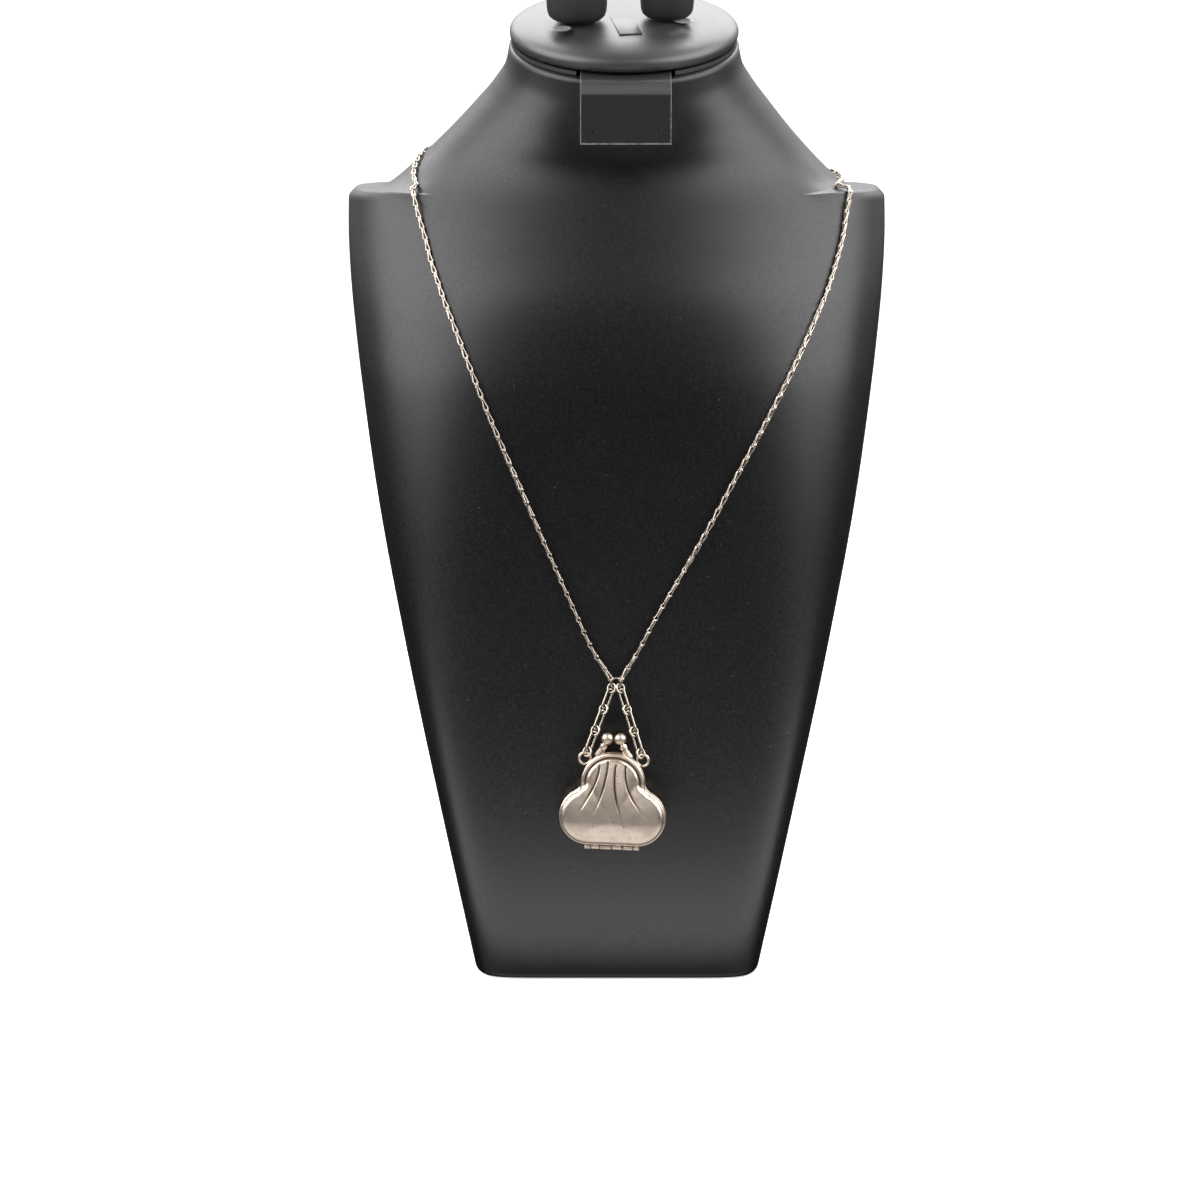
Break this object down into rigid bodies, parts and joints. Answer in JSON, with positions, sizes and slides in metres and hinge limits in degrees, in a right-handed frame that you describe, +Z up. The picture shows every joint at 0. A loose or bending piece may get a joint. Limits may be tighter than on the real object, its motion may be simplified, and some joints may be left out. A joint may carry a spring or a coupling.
{
  "type": "purse locket necklace on a neck bust",
  "caption": "Purse-shaped silver locket with a hinged front and ball clasp, hung by handle chains from a long neck chain that lies on a black neck display bust.",
  "frame": {"origin": "centre of the bust's flat underside", "axes": "+Z up, the front with the locket faces -Y, +X to the viewer's right"},
  "size_m": [0.1934, 0.1425, 0.3507],
  "materials": {
    "leatherette": "fine grained, satin",
    "plastic": "satin",
    "silver": "worn satin, warm tarnish"
  },
  "bodies": {
    "necklace_and_bust": {"bust_body": "leatherette", "neck_collar": "plastic", "neck_cap": "plastic", "earring_plate": "plastic", "cap_pad_left": "plastic", "cap_pad_right": "plastic", "neck_chain_left": "silver", "neck_chain_right": "silver", "neck_clasp": "silver", "purse_back": "silver", "hinge_pin": "silver", "jump_ring": "silver", "handle_left_link_1": "silver", "handle_left_link_2": "silver", "handle_left_link_3": "silver", "handle_left_link_4": "silver", "handle_left_link_5": "silver", "handle_left_link_6": "silver", "handle_left_link_7": "silver", "handle_right_link_1": "silver", "handle_right_link_2": "silver", "handle_right_link_3": "silver", "handle_right_link_4": "silver", "handle_right_link_5": "silver", "handle_right_link_6": "silver", "handle_right_link_7": "silver"},
    "locket_front": {"purse_front": "silver"}
  },
  "joints": [
    {"name": "lid_hinge", "type": "hinge", "parent": "necklace_and_bust", "child": "locket_front", "pos_m": [-0.00192, -0.05388, 0.0493], "axis": [0.9944, -0.1054, -0.0112], "range_deg": [0, 150]}
  ]
}
